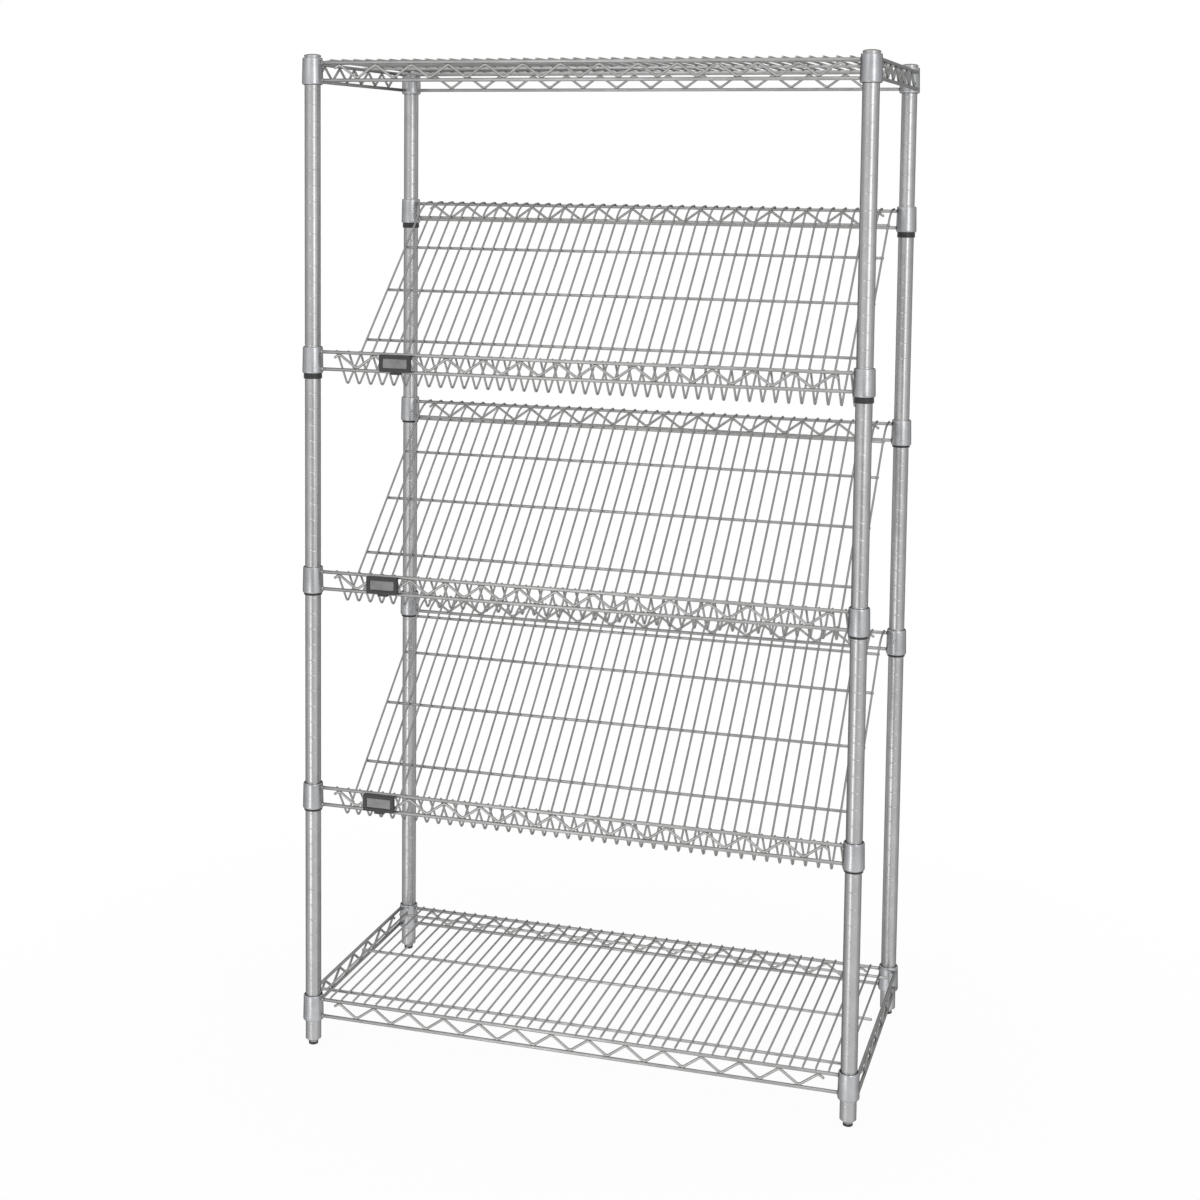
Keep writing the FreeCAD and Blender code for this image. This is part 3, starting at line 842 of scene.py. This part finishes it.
def build_slanted_mat(shelf):
    """Bent mat wires with their lip, welded to both rails and to the cross wires below them."""
    offsets = mat_offsets(shelf)
    front = levels(shelf)[0]
    path = slanted_path(shelf)
    wire = sweep(rounded(path, [0, MAT_TOP_BEND, MAT_VALLEY_BEND, 0]), MAT_RADIUS)
    wires = [moved(wire, (x, 0, 0)) for x in offsets]
    wires += weld_row(offsets, REAR_Y, path[0].z - MAT_RADIUS, RAIL_WELD)
    leg = (path[3] - path[2]).normalized()
    lip_weld = Vector((0, FRONT_Y, front - TOP_RAIL_DROP)) + Vector((0, leg.z, -leg.y)) * RAIL_RADIUS
    lean = math.atan2(leg.z, leg.y)
    wires += weld_row(offsets, lip_weld.y, lip_weld.z, RAIL_WELD, lean)
    slope = (path[1] - path[2]).normalized()
    below = Vector((0, slope.z, -slope.y))
    slope_lean = math.atan2(slope.z, slope.y)
    low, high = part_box(shelf + "_cross_wires")
    crosses = []
    for along in SLANTED_CROSS_PLACES:
        point = path[2] + slope * along + below * (MAT_RADIUS + CROSS_RADIUS - WELD_SINK)
        crosses.append(cross_wire(low.x, high.x, point.y, point.z))
        spot = path[2] + slope * along + below * MAT_RADIUS
        crosses += weld_row(offsets, spot.y, spot.z, CROSS_WELD, slope_lean)
    build_wires(shelf + "_mat_wires", wires, shelf)
    build_wires(shelf + "_cross_wires", crosses, shelf)


# ---------------------------------------------------------------- label holders

# The holder's frame from its back round the front into the window, in mm: how far the outline
# is inset, the radius of its corners, and its distance behind the front
LABEL_SECTIONS = (
    (0.5, 1.6, 6.0),
    (0.0, 2.0, 5.5),
    (0.0, 2.0, 0.9),
    (0.3, 1.8, 0.3),
    (0.9, 1.5, 0.0),
    (5.1, 1.2, 0.0),
    (5.7, 1.0, 0.3),
    (6.0, 0.9, 0.8),
    (6.0, 0.9, 2.6),
)
LABEL_DEPTH = LABEL_SECTIONS[0][2] * MM
WINDOW_DEPTH = LABEL_SECTIONS[-1][2] * MM
HOOK_WALL = 1.4 * MM
HOOK_OVERLAP = 3.0 * MM  # how far the hook's root reaches up into the frame
HOOK_HALF_WIDTH = 8.0 * MM
HOOK_EDGE = 0.6 * MM
CARD_CORNER = 0.8 * MM
CARD_EDGE = 0.2 * MM


def rounded_rectangle(half_width, half_height, corner, y, centre):
    """Points of an upright rectangle with round corners, at depth y."""
    points = []
    for quadrant, (sx, sz) in enumerate(((1, 1), (-1, 1), (-1, -1), (1, -1))):
        for k in range(RECTANGLE_CORNER_STEPS + 1):
            angle = math.radians(90 * quadrant + 90 / RECTANGLE_CORNER_STEPS * k)
            x = sx * (half_width - corner) + corner * math.cos(angle)
            z = sz * (half_height - corner) + corner * math.sin(angle)
            points.append(Vector((centre.x + x, y, centre.z + z)))
    return points


def label_centre(shelf):
    """Middle of a holder's front, half way down the front truss."""
    low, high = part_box(shelf + "_label_holder")
    return Vector(((low.x + high.x) / 2, 0, levels(shelf)[0] - TOP_RAIL_DROP - TRUSS_DEPTH / 2))


def label_frame(shelf):
    """Rounded frame round the window that shows the card."""
    low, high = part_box(shelf + "_label_holder")
    half_width = (high.x - low.x) / 2
    sections = []
    for inset, corner, depth in LABEL_SECTIONS:
        size = (half_width - inset * MM, TRUSS_DEPTH / 2 - inset * MM)
        sections.append(rounded_rectangle(*size, corner * MM, low.y + depth * MM, label_centre(shelf)))
    return loops(sections)


def label_hook(shelf):
    """Hook that goes from the frame's foot under the lower rail and up behind it."""
    low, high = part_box(shelf + "_label_holder")
    centre = label_centre(shelf)
    bottom = centre.z - TRUSS_DEPTH / 2
    back = low.y + LABEL_DEPTH
    window = low.y + WINDOW_DEPTH
    tip = high.y
    hook = [
        (back, bottom + HOOK_OVERLAP),
        (back, low.z + HOOK_WALL),
        (tip - HOOK_WALL, low.z + HOOK_WALL),
        (tip - HOOK_WALL, bottom),
        (tip, bottom),
        (tip, low.z),
        (window, low.z),
        (window, bottom + HOOK_OVERLAP),
    ]
    outline = rounded([(0, y, z) for y, z in hook], HOOK_EDGE, closed=True)
    ends = [[p + Vector((centre.x + side * HOOK_HALF_WIDTH, 0, 0)) for p in outline] for side in (-1, 1)]
    return loops(ends)


def label_card(shelf):
    """Blank card behind the window, with softened front edges."""
    low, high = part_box(shelf + "_label_card")
    half_width = (high.x - low.x) / 2
    half_height = (high.z - low.z) / 2
    sections = []
    for inset, y in ((0, high.y), (0, low.y + CARD_EDGE), (CARD_EDGE, low.y)):
        size = (half_width - inset, half_height - inset)
        sections.append(rounded_rectangle(*size, CARD_CORNER - inset, y, label_centre(shelf)))
    return loops(sections)


def build_label(shelf):
    name = shelf + "_label_holder"
    holder = [label_frame(shelf), label_hook(shelf)]
    piece(name + "_piece", holder, MATERIALS["label"], shelf, [name])
    name = shelf + "_label_card"
    piece(name + "_piece", [label_card(shelf)], MATERIALS["card"], shelf, [name])


# ---------------------------------------------------------------- the whole rack


def build_rack():
    build_corners()
    long_span = RIGHT_X - LEFT_X
    side_span = REAR_Y - FRONT_Y
    long_rails, long_snake = long_rail_parts(long_span), snake_parts(long_span)
    side_rails = side_rail_parts(side_span)
    beside = (SIDE_TRUSS_OFFSET, 0, 0)
    side_snake = [moved(turned(part, math.pi / 2), beside) for part in snake_parts(side_span)]
    for shelf in FLAT_SHELVES:
        build_collars(shelf)
        build_wires(shelf + "_long_rails", long_truss(long_rails, shelf), shelf)
        build_wires(shelf + "_side_rails", side_truss(side_rails, shelf), shelf)
        snakes = long_truss(long_snake, shelf) + side_truss(side_snake, shelf)
        build_wires(shelf + "_snakes", snakes, shelf)
        build_flat_mat(shelf)
    for shelf in SLANTED_SHELVES:
        build_collars(shelf)
        build_wires(shelf + "_rails", long_truss(long_rails, shelf), shelf)
        build_wires(shelf + "_snakes", long_truss(long_snake, shelf), shelf)
        build_slanted_mat(shelf)
        build_label(shelf)


# ---------------------------------------------------------------- floor, light and camera

FLOOR_SIZE = 60.0
FLOOR_GREY = 0.95
SHADOW_REACH = (0.5, 1.5)  # distance from the middle over which the shadow fades out
SHADOW_SHARE = 0.05
ROOM_LIGHT = 0.78  # the world as diffuse surfaces see it
KEY_PLACE = (-1.6, -4.0, 2.6)
KEY_AIM = (0, 0, 0.9)
KEY_SIZE = 1.2
KEY_RADIANCE = 1.2
REFLECTOR_DISTANCE = 4.0
REFLECTOR_STEP = 10  # degrees between a reflector's facets
# Reflectors: name, direction and width in degrees round the rack, height from and to, brightness
REFLECTORS = (
    ("right_strip", -50, 20, 0.5, 4.5, 2.7),
    ("left_strip", -108, 16, -1.4, -0.1, 3.2),
    ("front_grey", -76, 26, -0.3, 0.7, 0.5),
    ("left_grey", -160, 32, -6.0, 6.0, 0.66),
    ("right_grey", 8, 32, -6.0, 6.0, 0.66),
    ("back_grey", 104, 200, -6.0, 6.0, 0.68),
)


def floor_material():
    """White to the camera, with a faint shadow near the rack, and grey to the light it scatters."""
    material = bpy.data.materials.new("floor_white")
    material.use_nodes = True
    tree = material.node_tree
    tree.nodes.clear()
    link = tree.links.new
    output = tree.nodes.new("ShaderNodeOutputMaterial")
    seen = seen_directly(tree)
    where = tree.nodes.new("ShaderNodeTexCoord")
    distance = tree.nodes.new("ShaderNodeVectorMath")
    distance.operation = "LENGTH"
    link(where.outputs["Object"], distance.inputs[0])
    white = tree.nodes.new("ShaderNodeMapRange")
    white.interpolation_type = "SMOOTHSTEP"
    white.inputs["From Min"].default_value = SHADOW_REACH[0]
    white.inputs["From Max"].default_value = SHADOW_REACH[1]
    white.inputs["To Min"].default_value = 1 - SHADOW_SHARE
    white.inputs["To Max"].default_value = 1.0
    link(distance.outputs["Value"], white.inputs["Value"])
    share = tree.nodes.new("ShaderNodeMath")
    share.operation = "MULTIPLY"
    link(seen, share.inputs[0])
    link(white.outputs["Result"], share.inputs[1])
    lit = tree.nodes.new("ShaderNodeBsdfDiffuse")
    lit.inputs["Color"].default_value = (FLOOR_GREY, FLOOR_GREY, FLOOR_GREY, 1)
    glow = tree.nodes.new("ShaderNodeEmission")
    both = tree.nodes.new("ShaderNodeMixShader")
    link(share.outputs[0], both.inputs["Fac"])
    link(lit.outputs[0], both.inputs[1])
    link(glow.outputs[0], both.inputs[2])
    link(both.outputs[0], output.inputs["Surface"])
    return material


def seen_directly(tree):
    """One where a camera, glossy or transmission ray arrives."""
    path = tree.nodes.new("ShaderNodeLightPath")
    seen = path.outputs["Is Camera Ray"]
    for kind in ("Is Glossy Ray", "Is Transmission Ray"):
        either = tree.nodes.new("ShaderNodeMath")
        either.operation = "MAXIMUM"
        tree.links.new(seen, either.inputs[0])
        tree.links.new(path.outputs[kind], either.inputs[1])
        seen = either.outputs[0]
    return seen


def build_floor():
    mesh = bpy.data.meshes.new("floor")
    half = FLOOR_SIZE / 2
    corners = [(-half, -half, 0), (half, -half, 0), (half, half, 0), (-half, half, 0)]
    mesh.from_pydata(corners, [], [(0, 1, 2, 3)])
    mesh.materials.append(floor_material())
    floor = bpy.data.objects.new("floor", mesh)
    floor.visible_glossy = False
    bpy.context.scene.collection.objects.link(floor)


def build_world():
    world = bpy.data.worlds.new("white_studio")
    bpy.context.scene.world = world
    world.use_nodes = True
    world.cycles.sampling_method = "NONE"
    tree = world.node_tree
    tree.nodes.clear()
    output = tree.nodes.new("ShaderNodeOutputWorld")
    strength = tree.nodes.new("ShaderNodeMapRange")
    strength.inputs["To Min"].default_value = ROOM_LIGHT
    strength.inputs["To Max"].default_value = 1.0
    tree.links.new(seen_directly(tree), strength.inputs["Value"])
    background = tree.nodes.new("ShaderNodeBackground")
    background.inputs["Color"].default_value = (1, 1, 1, 1)
    tree.links.new(strength.outputs["Result"], background.inputs["Strength"])
    tree.links.new(background.outputs[0], output.inputs["Surface"])


def softbox(name, place, aim, width, height, radiance):
    """Rectangular lamp that shines at a point, as bright as radiance in reflections."""
    light = bpy.data.lights.new(name, "AREA")
    light.shape = "RECTANGLE"
    light.size = width
    light.size_y = height
    light.energy = radiance * math.pi * width * height
    lamp = bpy.data.objects.new(name, light)
    lamp.location = place
    lamp.rotation_euler = (Vector(aim) - Vector(place)).to_track_quat("-Z", "Y").to_euler()
    lamp.visible_camera = False
    bpy.context.scene.collection.objects.link(lamp)


def reflector(name, azimuth, spread, low, high, radiance):
    """Card round the rack that shows only in reflections, bent to an arc of these degrees."""
    columns = max(2, int(spread / REFLECTOR_STEP))
    vertices, faces = [], []
    for c in range(columns + 1):
        angle = math.radians(azimuth + spread * (c / columns - 0.5))
        place = (REFLECTOR_DISTANCE * math.cos(angle), REFLECTOR_DISTANCE * math.sin(angle))
        vertices += [(*place, height) for height in (low, high)]
    for c in range(columns):
        faces.append((2 * c, 2 * c + 1, 2 * c + 3, 2 * c + 2))
    mesh = bpy.data.meshes.new(name)
    mesh.from_pydata(vertices, [], faces)
    material = bpy.data.materials.new(name)
    material.use_nodes = True
    material.node_tree.nodes.clear()
    output = material.node_tree.nodes.new("ShaderNodeOutputMaterial")
    glow = material.node_tree.nodes.new("ShaderNodeEmission")
    glow.inputs["Strength"].default_value = radiance
    material.node_tree.links.new(glow.outputs[0], output.inputs["Surface"])
    material.cycles.emission_sampling = "NONE"
    mesh.materials.append(material)
    card = bpy.data.objects.new(name, mesh)
    card.visible_camera = False
    card.visible_diffuse = False
    card.visible_transmission = False
    card.visible_shadow = False
    bpy.context.scene.collection.objects.link(card)


def build_lights():
    softbox("key", KEY_PLACE, KEY_AIM, KEY_SIZE, KEY_SIZE, KEY_RADIANCE)
    for card in REFLECTORS:
        reflector(*card)


# Camera, chosen from several fits to the photograph; focal length and centre are in its pixels
PHOTO_SIZE = 1200
CAMERA_PLACE = (0.8763, -3.1217, 1.4459)
CAMERA_YAW = math.radians(17.544)
CAMERA_PITCH = math.radians(-4.859)
CAMERA_ROLL = math.radians(0.522)
CAMERA_FOCAL = 1994.6
CAMERA_CENTRE = (549.9, 332.6)
SENSOR = 36.0
CLIP_END = 100.0


def build_camera():
    data = bpy.data.cameras.new("camera")
    data.sensor_width = SENSOR
    data.lens = CAMERA_FOCAL / PHOTO_SIZE * SENSOR
    data.shift_x = (PHOTO_SIZE / 2 - CAMERA_CENTRE[0]) / PHOTO_SIZE
    data.shift_y = (CAMERA_CENTRE[1] - PHOTO_SIZE / 2) / PHOTO_SIZE
    data.clip_end = CLIP_END
    camera = bpy.data.objects.new("camera", data)
    turn = Matrix.Rotation(CAMERA_YAW, 4, "Z") @ Matrix.Rotation(math.pi / 2 + CAMERA_PITCH, 4, "X")
    camera.matrix_world = Matrix.Translation(CAMERA_PLACE) @ turn @ Matrix.Rotation(CAMERA_ROLL, 4, "Z")
    bpy.context.scene.collection.objects.link(camera)
    bpy.context.scene.camera = camera


build_rack()
build_floor()
build_world()
build_lights()
build_camera()
bpy.context.scene.view_settings.view_transform = "Standard"
